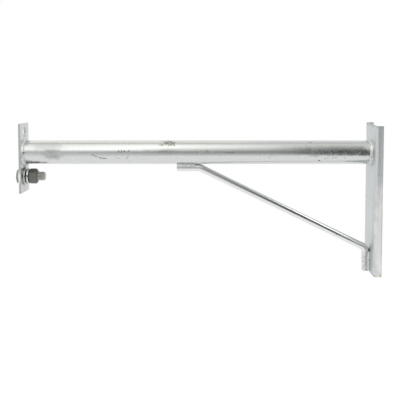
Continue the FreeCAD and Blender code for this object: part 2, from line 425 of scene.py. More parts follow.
def spangle_group():
    """Crystals of zinc: a random tone and facet for each, and the soft seams between them."""
    tree, given, result = node_group(
        "zinc_spangle", {"Vector": ORIGIN, "Crystal": 0.003, "Ragged": 0.6},
        ("Tone", "Facet", "Height"))
    scale = maths(tree, "DIVIDE", 1.0, given["Crystal"])
    reach = maths(tree, "MULTIPLY", given["Crystal"], given["Ragged"])
    moved = push_about(tree, given["Vector"], grain(tree, given["Vector"], scale, 3.0), reach)
    colour, distance = random_cells(tree, moved, scale)
    tree.links.new(colour["Red"], result["Tone"])
    tree.links.new(colour["Green"], result["Facet"])
    tree.links.new(distance, result["Height"])
    return tree


def streak_group():
    """Drag lines that the zinc leaves as the piece is drawn out of the bath."""
    tree, given, result = node_group(
        "drag_streaks", {"Vector": ORIGIN, "Fineness": (40.0, 900.0, 900.0)}, ("Streak",))
    scaled = vector_maths(tree, "MULTIPLY", given["Vector"], given["Fineness"])
    lines = grain(tree, scaled, 1.0, 4.0)
    tree.links.new(spread(tree, lines.outputs["Fac"], 0.3, 0.7), result["Streak"])
    return tree


def speck_group():
    """Scattered specks, as many to the metre as the fineness says. The share is how many show."""
    tree, given, result = node_group(
        "scattered_specks",
        {"Vector": ORIGIN, "Fineness": (200.0, 200.0, 200.0), "Size": 0.2, "Share": 0.15}, ("Mask",))
    scaled = vector_maths(tree, "MULTIPLY", given["Vector"], given["Fineness"])
    colour, distance = random_cells(tree, scaled, 1.0)
    core = maths(tree, "MULTIPLY", given["Size"], 0.4)
    body = spread(tree, distance, given["Size"], core)
    chosen = maths(tree, "LESS_THAN", colour["Red"], given["Share"])
    tree.links.new(maths(tree, "MULTIPLY", body, chosen), result["Mask"])
    return tree


def mark_group():
    """A patch at a place on the piece, with a ragged rim."""
    tree, given, result = node_group(
        "placed_mark", {"Vector": ORIGIN, "Centre": ORIGIN, "Reach": (0.01, 0.01, 0.01),
                        "Ragged": 0.5, "Grain": 0.002}, ("Mask",))
    away = vector_maths(tree, "SUBTRACT", given["Vector"], given["Centre"])
    distance = vector_maths(tree, "LENGTH", vector_maths(tree, "DIVIDE", away, given["Reach"]))
    rim = grain(tree, given["Vector"], maths(tree, "DIVIDE", 1.0, given["Grain"]), 4.0)
    centred = maths(tree, "SUBTRACT", rim.outputs["Fac"], 0.5)
    rough = maths(tree, "MULTIPLY", centred, given["Ragged"])
    edge = maths(tree, "ADD", distance, maths(tree, "MULTIPLY", rough, 2.0))
    tree.links.new(spread(tree, edge, 1.0, 0.35), result["Mask"])
    return tree


def scratch_group():
    """A thin, slightly bent scratch between two places on the piece."""
    tree, given, result = node_group(
        "placed_scratch", {"Vector": ORIGIN, "Start": ORIGIN, "End": ORIGIN, "Width": 0.0005},
        ("Mask",))
    moved = push_about(tree, given["Vector"], grain(tree, given["Vector"], 400.0, 2.0), 1.2 * MM)
    along = vector_maths(tree, "SUBTRACT", given["End"], given["Start"])
    away = vector_maths(tree, "SUBTRACT", moved, given["Start"])
    reach = vector_maths(tree, "DOT_PRODUCT", away, along)
    whole = vector_maths(tree, "DOT_PRODUCT", along, along)
    nearest = scale_vector(tree, along, maths(tree, "DIVIDE", reach, whole, clamp=True))
    gap = vector_maths(tree, "LENGTH", vector_maths(tree, "SUBTRACT", away, nearest))
    thin = maths(tree, "DIVIDE", gap, given["Width"])
    tree.links.new(spread(tree, thin, 1.0, 0.2), result["Mask"])
    return tree


GROUP_MAKERS = {
    "spangle": spangle_group, "streaks": streak_group, "specks": speck_group, "mark": mark_group,
    "scratch": scratch_group,
}
GROUPS = {}


def use_group(tree, name, inputs):
    """Places a group in a material and gives its outputs. It is built when it is first asked for."""
    if name not in GROUPS:
        GROUPS[name] = GROUP_MAKERS[name]()
    return add_node(tree, "ShaderNodeGroup", inputs, node_tree=GROUPS[name]).outputs


def opaque(colour):
    return (colour[0], colour[1], colour[2], 1.0)


def in_metres(place):
    return tuple(value * MM for value in place)


def empty_tree(owner):
    """The node tree of a new material or world, with nothing in it."""
    owner.use_nodes = True
    owner.node_tree.nodes.clear()
    return owner.node_tree


class Coat:
    """Builds up one zinc finish: its colour, roughness, relief and metal change layer by layer.
    Places and sizes of marks are in millimetres."""

    def __init__(self, name, colour, roughness, metal=1.0):
        self.material = bpy.data.materials.new(name)
        self.tree = empty_tree(self.material)
        self.place = self.tree.nodes.new("ShaderNodeTexCoord").outputs["Object"]
        self.colour = opaque(colour)
        self.roughness = roughness
        self.metal = metal
        self.height = 0.0

    def mark(self, centre, reach, ragged=0.5, grain_size=2.0):
        return use_group(self.tree, "mark", {
            "Vector": self.place, "Centre": in_metres(centre), "Reach": in_metres(reach),
            "Ragged": ragged, "Grain": grain_size * MM})["Mask"]

    def scratch(self, start, end, width):
        return use_group(self.tree, "scratch", {
            "Vector": self.place, "Start": in_metres(start), "End": in_metres(end),
            "Width": width * MM})["Mask"]

    def specks(self, fineness, size, share):
        return use_group(self.tree, "specks", {
            "Vector": self.place, "Fineness": (fineness, fineness, fineness), "Size": size,
            "Share": share})["Mask"]

    def spangle(self, crystal, ragged=0.6):
        return use_group(self.tree, "spangle", {
            "Vector": self.place, "Crystal": crystal, "Ragged": ragged})

    def streaks(self, fineness):
        return use_group(self.tree, "streaks", {"Vector": self.place, "Fineness": fineness})["Streak"]

    def cloud(self, scale, roughness, low, high):
        """A soft noise, spread so that it is 0 at low and 1 at high."""
        noise_node = grain(self.tree, self.place, scale, 3.0, roughness)
        return spread(self.tree, noise_node.outputs["Fac"], low, high)

    def both(self, first, second):
        """The mask where both masks are."""
        return maths(self.tree, "MULTIPLY", first, second)

    def paint(self, mask, colour, strength=1.0):
        share = maths(self.tree, "MULTIPLY", mask, strength, clamp=True)
        self.colour = mix_colours(self.tree, share, self.colour, opaque(colour))

    def tone(self, mask, low, high):
        """Multiplies the colour by a grey that runs from low to high with the mask."""
        grey = spread(self.tree, mask, 0.0, 1.0, low, high)
        colour = self.colour if is_socket(self.colour) else self.colour[:3]
        self.colour = scale_vector(self.tree, colour, grey)

    def dull(self, mask, amount):
        """Adds to the roughness where the mask is."""
        share = maths(self.tree, "MULTIPLY", mask, amount)
        self.roughness = maths(self.tree, "ADD", self.roughness, share)

    def raise_by(self, mask, height):
        """Adds relief where the mask is, in millimetres."""
        share = maths(self.tree, "MULTIPLY", mask, height * MM)
        self.height = maths(self.tree, "ADD", self.height, share)

    def paint_light_patch(self, mask, colour, strength, dulled, metal_lost):
        """A patch of painted light: matt, whitish zinc made less metallic, so that a place the lamps
        leave dark reads lighter.
        """
        self.paint(mask, colour, strength)
        self.dull(mask, dulled)
        self.metal = maths(self.tree, "MULTIPLY_ADD", mask, -metal_lost, self.metal)

    def finish(self):
        rough = maths(self.tree, "MAXIMUM", self.roughness, 0.05, clamp=True)
        bump = add_node(self.tree, "ShaderNodeBump", {"Height": self.height, "Distance": 1.0})
        shader = add_node(self.tree, "ShaderNodeBsdfPrincipled", {
            "Base Color": self.colour, "Roughness": rough, "Normal": bump.outputs["Normal"],
            "Metallic": self.metal})
        add_node(self.tree, "ShaderNodeOutputMaterial", {"Surface": shader.outputs["BSDF"]})
        return self.material


# Finishes

def base_coat(name, colour, roughness, finish, fineness, crystal, mottle, relief=1.0, metal=1.0):
    """The zinc that every piece shares: crystals, drag lines, mottling and pimples. The fineness is
    that of the drag lines, and crystal is the crystals' size as a share of the finish's spangle."""
    coat = Coat(name, colour, roughness, metal)
    crystals = coat.spangle(finish.spangle * crystal)
    fine = coat.spangle(finish.spangle * crystal * 0.35, 0.9)
    lines = coat.streaks(fineness)
    pimples = coat.specks(260, 0.22, 0.16)
    coat.tone(crystals["Tone"], 0.975, 1.01)
    coat.tone(fine["Tone"], 0.985, 1.01)
    coat.tone(lines, 0.98, 1.01)
    coat.paint(pimples, finish.dull_zinc_and_shade, 0.25)
    mottled = coat.both(fine["Facet"], crystals["Tone"])
    coat.dull(spread(coat.tree, mottled, 0.25, 0.8), mottle)
    coat.dull(coat.cloud(28.0, 0.6, 0.35, 0.68), mottle * 0.6)
    coat.dull(lines, mottle * 0.3)
    coat.raise_by(crystals["Height"], 0.012 * relief)
    coat.raise_by(lines, 0.004 * relief)
    coat.raise_by(pimples, 0.06 * relief)
    return coat


def cut_edges(coat, finish):
    """Sheared edges are duller. The pieces carry them as the attribute cut_edge."""
    cut = add_node(
        coat.tree, "ShaderNodeAttribute", attribute_name="cut_edge", attribute_type="GEOMETRY")
    lines = spread(coat.tree, coat.streaks((900, 260, 120)), 0.0, 1.0, 0.35, 0.8)
    coat.paint(coat.both(cut.outputs["Fac"], lines), finish.dull_zinc_and_shade)
    coat.dull(cut.outputs["Fac"], 0.15)


# Marks are listed in the order in which they are painted. Places are in millimetres from the frame's
# origin, along +X, +Y and +Z.

TUBE_STAINS_AND_DENT_SHADE = (
    # centre, reach, strength
    # painted shade in the shallow dent, and over the highlight just above it
    ((-436.0, -16.0, -3.0), (18.0, 10.0, 8.0), 0.72),
    ((-433.5, -15.6, -4.8), (8.0, 9.0, 3.6), 0.76),
    ((-442.0, -12.5, 8.5), (28.0, 10.0, 9.5), 0.52),
    # stains and dark spots
    ((-472.0, -16.0, 0.8), (2.4, 3.0, 1.4), 1.80),
    ((-471.5, -10.0, -12.0), (3.5, 5.0, 3.0), 0.20),
    ((-226.0, -15.5, 1.5), (16.0, 6.0, 3.2), 0.32),
    ((-310.0, -15.5, 3.0), (9.0, 6.0, 2.0), 0.44),
    ((-284.0, -15.5, 2.4), (20.0, 6.0, 4.2), 0.68),
)
TUBE_SCRATCHES = (
    # start, end, width, strength
    ((-460.0, -9.3, -13.1), (-446.0, -8.0, -13.9), 0.9, 0.80),
    ((-469.0, -9.6, -12.8), (-460.0, -9.3, -13.1), 0.6, 0.35),
    ((-384.0, -15.9, -1.8), (-377.0, -15.3, -4.6), 0.9, 0.75),
    ((-374.5, -14.9, -6.0), (-365.0, -14.3, -7.2), 1.1, 0.85),
    ((-352.0, -14.6, -6.4), (-346.5, -14.5, -6.6), 0.7, 0.45),
    ((-335.0, -15.5, -4.0), (-338.6, -13.9, -7.9), 0.8, 0.6),
    ((-347.6, -15.6, 3.4), (-349.0, -15.9, 1.4), 0.9, 0.9),
    ((-344.4, -15.6, 3.6), (-344.7, -16.0, 0.9), 0.9, 0.9),
    ((-342.2, -15.7, 3.2), (-342.3, -15.9, 1.8), 0.8, 0.8),
    ((-340.0, -15.6, 3.4), (-340.4, -15.9, 1.6), 0.9, 0.9),
    ((-333.6, -15.5, 3.8), (-336.4, -15.9, 1.6), 0.9, 0.8),
    ((-296.0, -15.9, 2.2), (-283.0, -15.8, 3.2), 0.8, 0.45),
    ((-233.0, -15.4, 4.2), (-228.0, -15.9, 1.6), 0.8, 0.6),
    ((-206.5, -16.0, 1.2), (-195.0, -16.0, 0.6), 0.8, 0.65),
    ((-164.0, -2.5, 15.8), (-159.0, -3.0, 15.7), 0.8, 0.5),
    ((-150.0, -14.9, -5.7), (-147.5, -14.8, -6.0), 0.6, 0.45),
    ((-82.6, -12.4, -10.1), (-81.4, -12.4, -10.2), 1.5, 1.0),
    ((-94.0, -15.6, -3.6), (-84.0, -15.4, -4.4), 0.6, 0.5),
    ((-70.0, -14.8, -6.0), (-76.0, -13.8, -8.0), 0.6, 0.6),
    ((-58.0, -15.2, -5.0), (-66.0, -14.2, -7.4), 0.6, 0.6),
    ((-52.0, -15.6, -3.4), (-47.0, -14.4, -6.9), 0.6, 0.5),
    ((-95.5, -6.8, 14.5), (-91.6, -8.2, 13.7), 0.8, 0.6),
    ((-91.6, -8.2, 13.7), (-95.0, -9.8, 12.6), 0.8, 0.6),
)
PLATE_PAINTED_SHADE_AND_HIGHLIGHT = (
    # colour, strength, centre, reach, raggedness, grain: painted shade on the inner face, then a
    # painted highlight on the near edge
    # painted shadow on the plate just above the washer
    ("dross", 0.20, (-477.0, -6.0, -21.0), (3.0, 10.0, 2.6), 0.7, 3.0),
    # painted contact shadow beside the washer
    ("dross", 0.55, (-477.0, -14.5, -31.0), (3.0, 4.0, 10.0), 0.7, 3.0),
    # painted shade, darker towards the plate's bottom
    ("dross", 0.14, (-477.0, -3.0, -44.0), (3.0, 16.0, 14.0), 0.7, 3.0),
    # painted shade in the upper hole's wall
    ("dross", 0.45, (-480.4, 5.0, 27.2), (3.2, 6.0, 8.0), 0.7, 3.0),
    # painted highlight on the plate's near edge
    ("clean_zinc_and_highlight", 1.0, (-480.0, -19.0, -32.4), (3.0, 3.0, 11.0), 0.2, 2.0),
)
CHANNEL_MARKS_AND_SHADE = (
    # colour, strength, centre, reach, raggedness, grain: the upper near flange a little darker, a dot
    # on the web, the lower near flange lighter, painted shade on that flange's fold and in its
    # crease, and a darker strip along its edge
    ("dull_zinc_and_shade", 0.12, (-6.5, -25.0, 12.0), (4.5, 6.0, 62.0), 0.4, 6.0),
    ("scratch", 0.8, (-10.5, 14.0, -62.0), (3.0, 2.0, 1.2), 0.2, 2.0),
    ("clean_zinc_and_highlight", 1.0, (-3.0, -26.0, -106.0), (10.0, 8.0, 95.0), 0.5, 20.0),
    # painted shade over the fold's highlight
    ("dull_zinc_and_shade", 0.32, (-8.4, -23.6, -104.0), (3.0, 4.0, 90.0), 0.4, 6.0),
    # painted shade in the crease beside the fold
    ("dull_zinc_and_shade", 0.60, (-10.5, -16.8, -104.0), (3.0, 2.3, 92.0), 0.3, 2.0),
    ("dull_zinc_and_shade", 0.6, (0.0, -25.0, -110.0), (2.2, 4.0, 80.0), 0.3, 2.0),
)
WELD_MARKS_SHADE_AND_GLINTS = (
    # colour, strength, centre, reach, raggedness, grain: a dark spot at the plate bead's stop,
    # painted shade and a painted highlight on the channel's bead, and a painted highlight on the
    # plate bead near its start
    ("scratch", 0.8, (-473.6, -18.0, 0.6), (2.2, 4.0, 2.2), 0.3, 2.0),
    ("dull_zinc_and_shade", 0.75, (-10.6, -18.5, -2.0), (2.0, 5.0, 8.5), 0.6, 2.0),
    ("clean_zinc_and_highlight", 0.6, (-13.4, -16.5, 8.0), (3.0, 4.0, 4.5), 0.4, 2.0),
    ("clean_zinc_and_highlight", 1.0, (-475.4, -18.0, 6.0), (2.6, 4.0, 6.0), 0.3, 2.0),
)
BOLT_MARKS_AND_GAP_SHADE = (
    # colour, strength, centre, reach, raggedness, grain: the weathered head, its clean rim, and
    # painted shade on the thread beside the plate, where it lies between the washers
    ("head_zinc", 1.0, (-486.0, 0.0, -32.4), (12.0, 30.0, 30.0), 0.3, 2.0),
    ("clean_zinc_and_highlight", 1.0, (-480.0, 0.0, -32.4), (4.8, 60.0, 60.0), 0.15, 2.0),
    ("scratch", 0.9, (-474.0, 0.0, -32.4), (3.4, 12.0, 12.0), 0.3, 2.0),
)
WASHER_PAINTED_SHADE = (
    # colour, strength, centre, reach, raggedness, grain: painted shade where the flat washer meets
    # the plate, and in the gap between the washers and the nut
    ("scratch", 0.36, (-477.0, 0.0, -32.4), (1.7, 40.0, 40.0), 0.3, 2.0),
    ("scratch", 0.75, (-473.9, 0.0, -32.4), (1.6, 15.0, 15.0), 0.3, 2.0),
)


def paint_marks(coat, finish, marks):
    for colour, strength, centre, reach, ragged, grain_size in marks:
        coat.paint(coat.mark(centre, reach, ragged, grain_size), getattr(finish, colour), strength)


def tube_zinc(finish):
    coat = base_coat("zinc_tube", finish.bright_zinc, 0.16, finish, (14, 420, 420), 1.0, 0.08, 0.10)
    crust = coat.both(coat.mark((-66.0, -16.0, 0.0), (58.0, 16.0, 11.0), 0.9, 12.0),
                      coat.cloud(420.0, 0.65, 0.42, 0.66))
    coat.raise_by(crust, 0.05)
    coat.dull(crust, 0.06)
    # Painted light: the tube's underside over the brace rod, which the rod shades, is painted whitish
    # and made less metallic.
    underside_painted_light = coat.mark((-205.0, -3.0, -17.0), (80.0, 15.0, 7.2), 0.3)
    coat.paint_light_patch(underside_painted_light, finish.clean_zinc_and_highlight, 0.8, 0.35, 0.85)
    # Painted light: the tube's end beside the channel's bead is painted lighter and made less
    # metallic.
    channel_end_painted_light = coat.mark((-16.0, -14.0, 9.5), (9.5, 9.0, 8.2), 0.9)
    coat.paint_light_patch(channel_end_painted_light, finish.satin_zinc, 0.7, 0.3, 0.5)
    # Paints the stains, and painted shade in and above the dent, in dull zinc.
    for centre, reach, strength in TUBE_STAINS_AND_DENT_SHADE:
        stain_and_dent_shade = coat.mark(centre, reach, 0.5, 5.0)
        coat.paint(stain_and_dent_shade, finish.dull_zinc_and_shade, strength)
        coat.dull(stain_and_dent_shade, 0.12)
    dross = coat.mark((-282.0, -9.0, 12.5), (12.0, 9.0, 4.6), 1.5, 3.5)
    coat.paint(dross, finish.dross, 0.75)
    coat.dull(dross, 0.25)
    coat.raise_by(dross, 0.15)
    for start, end, width, strength in TUBE_SCRATCHES:
        scratch = coat.scratch(start, end, width)
        coat.paint(scratch, finish.scratch, strength)
        coat.dull(scratch, 0.2)
    return coat.finish()


def plate_zinc(finish):
    coat = base_coat("zinc_plate", finish.bright_zinc, 0.30, finish, (300, 300, 60), 1.1, 0.12, 0.5)
    cut_edges(coat, finish)
    # Paints shade and shadows on the inner face and a highlight on the near edge.
    paint_marks(coat, finish, PLATE_PAINTED_SHADE_AND_HIGHLIGHT)
    return coat.finish()


def channel_zinc(finish):
    coat = base_coat("zinc_channel", finish.satin_zinc, 0.44, finish, (260, 260, 22), 1.2, 0.10, 0.35)
    cut_edges(coat, finish)
    # Paints the channel's marks, and painted shade on the lower flange's fold and crease.
    paint_marks(coat, finish, CHANNEL_MARKS_AND_SHADE)
    drip = coat.mark((-2.0, -25.0, -164.0), (3.0, 4.0, 5.0), 0.8)
    coat.paint(drip, finish.drip, 0.8)
    coat.raise_by(drip, 0.2)
    return coat.finish()


def rod_zinc(finish):
    coat = base_coat("zinc_rod", finish.rod_zinc, 0.09, finish, (60, 260, 60), 0.8, 0.04, 0.25)
    dot = coat.mark((-56.0, -4.5, -110.7), (1.5, 3.0, 1.5), 0.2)
    coat.paint(dot, finish.scratch, 0.8)
    foot = coat.mark((-17.0, -4.0, -148.0), (8.0, 7.0, 17.0))
    spatter = coat.both(foot, coat.specks(480, 0.7, 0.45))
    coat.paint(spatter, finish.dull_zinc_and_shade)
    coat.dull(spatter, 0.2)
    coat.raise_by(spatter, 0.12)
    return coat.finish()


def weld_zinc(finish):
    coat = base_coat("zinc_weld", finish.bright_zinc, 0.34, finish, (300, 300, 300), 0.5, 0.15)
    coat.paint(coat.specks(420, 0.5, 0.11), finish.scratch, 0.7)
    # Paints a dark spot at the plate bead's stop, and painted shade and painted highlights on the
    # beads.
    paint_marks(coat, finish, WELD_MARKS_SHADE_AND_GLINTS)
    # Painted light: the plate bead's lower foot, which reflects the dark nut, is painted whitish and
    # made less metallic.
    plate_bead_foot_painted_light = coat.mark((-475.0, -12.0, -16.0), (5.0, 9.0, 6.0))
    coat.paint_light_patch(plate_bead_foot_painted_light, finish.clean_zinc_and_highlight, 0.8, 0.3, 0.7)
    coat.raise_by(coat.cloud(520.0, 0.6, 0.35, 0.7), 0.14)
    return coat.finish()


def bolt_zinc(finish):
    coat = base_coat("spun_zinc_bolt", finish.bolt_zinc, 0.34, finish, (200, 200, 200), 0.4, 0.2)
    paint_marks(coat, finish, BOLT_MARKS_AND_GAP_SHADE)
    return coat.finish()


def washer_zinc(finish):
    coat = base_coat("zinc_washer", finish.washer_zinc, 0.26, finish, (300, 200, 200), 0.5, 0.2)
    paint_marks(coat, finish, WASHER_PAINTED_SHADE)
    return coat.finish()


def nut_coat(finish):
    coat = base_coat(
        "dark_nut_coat", finish.dark_nut, 0.55, finish, (200, 300, 300), 0.4, 0.2, metal=0.9)
    return coat.finish()


FINISH_MAKERS = {
    "tube": tube_zinc, "plate": plate_zinc, "channel": channel_zinc, "rod": rod_zinc,
    "weld": weld_zinc, "bolt": bolt_zinc, "washer": washer_zinc, "nut": nut_coat,
}
FINISHES = {}


def finish_of(name):
    """The finish of that name, made the first time that a piece asks for it."""
    if name not in FINISHES:
        FINISHES[name] = FINISH_MAKERS[name](bpy.context.scene.arm_finish)
    return FINISHES[name]


# Pieces

def mark_cut_edges(piece, is_cut):
    """Writes the attribute cut_edge: 1 where is_cut(point) is true, else 0."""
    mesh = piece.data
    cut = mesh.attributes.new("cut_edge", "FLOAT", "POINT")
    for vertex in mesh.vertices:
        cut.data[vertex.index].value = 1.0 if is_cut(vertex.co) else 0.0


# Unevenness of the surfaces: the distance of its waves and their depth, in millimetres
TUBE_WAVE = (45, 0.05)
DROSS_CRUMBS = (2.2, 0.14)
CHANNEL_WAVE = (50, 0.10)
SHEARED_END = (6, 0.35)
ROD_WAVE, ROD_GRAIN = (11, 0.07), (4, 0.03)
RING_BEAD_SWELL = (8, 0.55)
BEAD_SWELL = (4, 0.30)
THREAD_GRAIN = (2.5, 0.06)

# Patches on the tube's skin: the place along in millimetres, the turn up from the front in degrees,
# and how far they reach along and around in millimetres
DENT = (-436.0, -11, 17.5, 9.0)
DROSS_LUMP = (-282.0, 58, 12.5, 7.0)

# The run of zinc under the dent: where it starts and ends to rise and to fall, its turn from the
# front, its width and its height
RUN_START, RUN_FULL, RUN_FADING, RUN_END = -470.0, -464.0, -450.0, -443.0
RUN_TURN, RUN_WIDTH, RUN_HEIGHT = -58, 1.2, 0.28


def patch_distance(x, turn, patch):
    """How far a place on the tube lies from a patch's centre: 1 at the patch's rim."""
    centre, centre_turn, reach_along, reach_around = patch
    along = (x - centre * MM) / (reach_along * MM)
    around = (turn - math.radians(centre_turn)) * TUBE_RADIUS / (reach_around * MM)
    return math.hypot(along, around)


def tube_relief(x, turn, sizes):
    """How far the tube's skin stands out of its true cylinder at a place. Turn 0 faces the front."""
    place = Vector((x, TUBE_RADIUS * math.cos(turn), TUBE_RADIUS * math.sin(turn)))
    height = wobble(place, TUBE_WAVE)
    dent = patch_distance(x, turn, DENT)
    if dent < 1:
        height -= sizes.dent_depth * (math.cos(math.pi * dent) + 1) / 2
    lump = 1 - patch_distance(x, turn, DROSS_LUMP)
    if lump > 0:
        height += min(lump * 2, 1) * (0.10 * MM + wobble(place, DROSS_CRUMBS))
    rise = smooth_step(RUN_START * MM, RUN_FULL * MM, x)
    fall = smooth_step(RUN_FADING * MM, RUN_END * MM, x)
    off_line = (turn - math.radians(RUN_TURN)) * TUBE_RADIUS / (RUN_WIDTH * MM)
    height += RUN_HEIGHT * MM * rise * (1 - fall) * math.exp(-off_line * off_line)
    return height


def build_tube(sizes):
    around, along, inside_along = 144, 320, 8
    start, end = TUBE_LOW.x, TUBE_HIGH.x
    rows = []
    for row in range(along + 1):
        x = start + (end - start) * row / along
        ring = []
        for turn in turns(around):
            relief = tube_relief(x, turn if turn < math.pi else turn - 2 * math.pi, sizes)
            ring.append(on_circle(x, TUBE_RADIUS + relief, turn))
        rows.append(ring)
    inside = TUBE_RADIUS - sizes.tube_wall
    for row in range(inside_along + 1):
        x = end + (start - end) * row / inside_along
        rows.append([on_circle(x, inside, turn) for turn in turns(around)])
    make_piece("tube_skin", rows_mesh(rows, closed_rows=True), "tube", "arm_tube")


def split_outline(points, step):
    """The closed outline with points added, so that none are further apart than about a step."""
    full = []
    for index, (u, v) in enumerate(points):
        last_u, last_v = points[index - 1]
        count = max(1, round(math.hypot(u - last_u, v - last_v) / step))
        for part in range(1, count + 1):
            share = part / count
            full.append((last_u + (u - last_u) * share, last_v + (v - last_v) * share))
    return full


def build_plate(sizes):
    half = PLATE_HIGH.y
    rectangle = rounded_rectangle((-half, PLATE_LOW.z), (half, PLATE_HIGH.z), sizes.plate_corner)
    side_unevenness = 0.004
    end_unevenness = 0.25 * MM

    def outline(inset):
        """The plate's sheared outline, a little uneven."""
        points = []
        for u, v in split_outline(rectangle(inset), 2 * MM):
            narrowing = side_unevenness * (1 + noise.noise(Vector((0, v * 90, 3))))
            rise = end_unevenness * (noise.noise(Vector((u * 150, 0, 7))) - 0.4)
            points.append((u * (1 - narrowing), v + (rise if v > 0 else -rise)))
        return points

    holes = [
        round_hole(0, PLATE_HIGH.z - sizes.clamp_hole_to_top, sizes.clamp_hole / 2),
        round_hole(0, 0, sizes.vent / 2),
        round_hole(0, BOLT_Z, sizes.bolt_hole / 2),
    ]
    bm = slab_mesh([outline] + holes, lambda u, v, x: (x, u, v), PLATE_LOW.x, PLATE_HIGH.x,
                   sizes.edge_round)
    piece = make_piece("plate_skin", bm, "plate", "end_plate")

    def is_cut(co):
        between_faces = PLATE_LOW.x + 0.3 * MM < co.x < PLATE_HIGH.x - 0.3 * MM
        at_side = abs(co.y) > half - 0.6 * MM
        at_end = co.z > PLATE_HIGH.z - 0.8 * MM or co.z < PLATE_LOW.z + 0.8 * MM
        return between_faces and (at_side or at_end)

    mark_cut_edges(piece, is_cut)


def channel_section(sizes, inset):
    """The folded channel's section as (x, y) points, drawn in by the inset."""
    half = CHANNEL_HIGH.y - inset
    outer = CHANNEL_LOW.x + inset
    sheet = sizes.sheet_thickness - 2 * inset
    inside = sizes.bend_inside + inset
    outside = sizes.bend_inside + sizes.sheet_thickness - inset
    rim = sizes.edge_round
    lip = -inset - rim
    fold = outer + outside
    inner = outer + sheet
    inner_fold = inner + inside
    points = []

    def straight(start, end, count):
        for step in range(count):
            share = step / count
            points.append(tuple(first + (last - first) * share for first, last in zip(start, end)))

    def bend(centre, radius, start, end, count):
        for step in range(count):
            turn = math.radians(start + (end - start) * step / count)
            points.append((centre[0] + radius * math.cos(turn), centre[1] + radius * math.sin(turn)))

    straight((lip, -half), (fold, -half), 4)
    bend((fold, -half + outside), outside, 270, 180, 10)
    straight((outer, -half + outside), (outer, half - outside), 12)
    bend((fold, half - outside), outside, 180, 90, 10)
    straight((fold, half), (lip, half), 4)
    bend((lip, half - rim), rim, 90, 0, 3)
    bend((lip, half - sheet + rim), rim, 0, -90, 3)
    straight((lip, half - sheet), (inner_fold, half - sheet), 4)
    bend((inner_fold, half - sheet - inside), inside, 90, 180, 8)
    straight((inner, half - sheet - inside), (inner, -half + sheet + inside), 12)
    bend((inner_fold, -half + sheet + inside), inside, 180, 270, 8)
    straight((inner_fold, -half + sheet), (lip, -half + sheet), 4)
    bend((lip, -half + sheet - rim), rim, 90, 0, 3)
    bend((lip, -half + rim), rim, 0, -90, 3)
    return points


def build_channel(sizes):
    slope = math.tan(sizes.channel_skew)
    reach = CHANNEL_HIGH.y * slope
    bottom = CHANNEL_LOW.z + reach
    top = CHANNEL_HIGH.z - reach
    rough_end = 12 * MM
    flat_web = CHANNEL_HIGH.y - 4 * MM
    rows = []
    for inset, height in rim_profile(sizes.edge_round, bottom, top, 59):
        near_end = smooth_step(rough_end, 0, min(height - bottom, top - height))
        ring = []
        for x, y in channel_section(sizes, inset):
            shear = wobble(Vector((x, y, 0)), SHEARED_END) * near_end
            wave = wobble(Vector((x, y, height)), CHANNEL_WAVE) if abs(y) < flat_web else 0
            ring.append((x + wave, y, height + y * slope + shear))
        rows.append(ring)
    bm = rows_mesh(rows, caps=True)
    piece = make_piece("channel_skin", bm, "channel", "pole_channel")
    drill_vent(piece, sizes)

    def is_cut(co):
        height = co.z - co.y * slope
        return co.x > -0.6 * MM or height < bottom + 0.5 * MM or height > top - 0.5 * MM

    mark_cut_edges(piece, is_cut)


def drill_vent(piece, sizes):
    """Cuts the round vent through the channel's web."""
    circle = round_hole(0, 0, sizes.vent / 2, 48)(0)
    past = 2 * MM
    ends = (CHANNEL_LOW.x - past, CHANNEL_LOW.x + sizes.sheet_thickness + past)
    rows = [[(x, y, z) for y, z in circle] for x in ends]
    drill = mesh_object("vent_drill", rows_mesh(rows, caps=True))
    cut = piece.modifiers.new("vent", "BOOLEAN")
    cut.operation = "DIFFERENCE"
    cut.solver = "EXACT"
    cut.object = drill
    graph = bpy.context.evaluated_depsgraph_get()
    drilled = bpy.data.meshes.new_from_object(piece.evaluated_get(graph))
    piece.modifiers.clear()
    piece.data = drilled
    drilled.name = piece.name
    bpy.data.objects.remove(drill)


def build_brace(sizes):
    foot_x = CHANNEL_LOW.x - ROD_RADIUS
    top_z = -TUBE_RADIUS - ROD_RADIUS
    path = bent_path([
        (Vector((ROD_LOW.x, 0, top_z)), 0),
        (Vector((-sizes.brace_start, 0, top_z)), sizes.upper_bend),
        (Vector((foot_x, 0, -sizes.brace_drop)), sizes.lower_bend),
        (Vector((foot_x, 0, ROD_LOW.z)), 0),
    ], 1.6 * MM)
    around = 48
    chamfer = 0.6 * MM
    end_rings = [(ROD_RADIUS - chamfer) * share for share in (0.25, 0.7, 1)]
    rows = []

    def ring(centre, tangent, radius):
        up = tangent.cross(Vector((0, 1, 0))).normalized()
        points = []
        for turn in turns(around):
            arm = FRONT * math.cos(turn) + up * math.sin(turn)
            place = centre + arm * radius
            swell = wobble(place, ROD_WAVE) + wobble(place, ROD_GRAIN)
            points.append(centre + arm * (radius + swell))
        return points

    for index, centre in enumerate(path):
        before = path[max(index - 1, 0)]
        after = path[min(index + 1, len(path) - 1)]
        tangent = (after - before).normalized()
        if index == 0:
            rows += [ring(centre, tangent, radius) for radius in end_rings]
            rows.append(ring(centre + tangent * chamfer, tangent, ROD_RADIUS))
        elif index == len(path) - 1:
            rows.append(ring(centre - tangent * chamfer, tangent, ROD_RADIUS))
            rows += [ring(centre, tangent, radius) for radius in reversed(end_rings)]
        else:
            rows.append(ring(centre, tangent, ROD_RADIUS))
    make_piece("brace_skin", rows_mesh(rows, caps=True), "rod", "brace_rod")


# The surface of a bead lies this far under its plain solid, which leaves room for the ripples.
RIPPLE_ROOM = 0.35 * MM


def ripple_shape(phase):
    """One scale of a weld bead, 0 to 1: it climbs quickly and then falls away."""
    share = phase - math.floor(phase)
    return math.sin(math.pi * share ** 0.6)


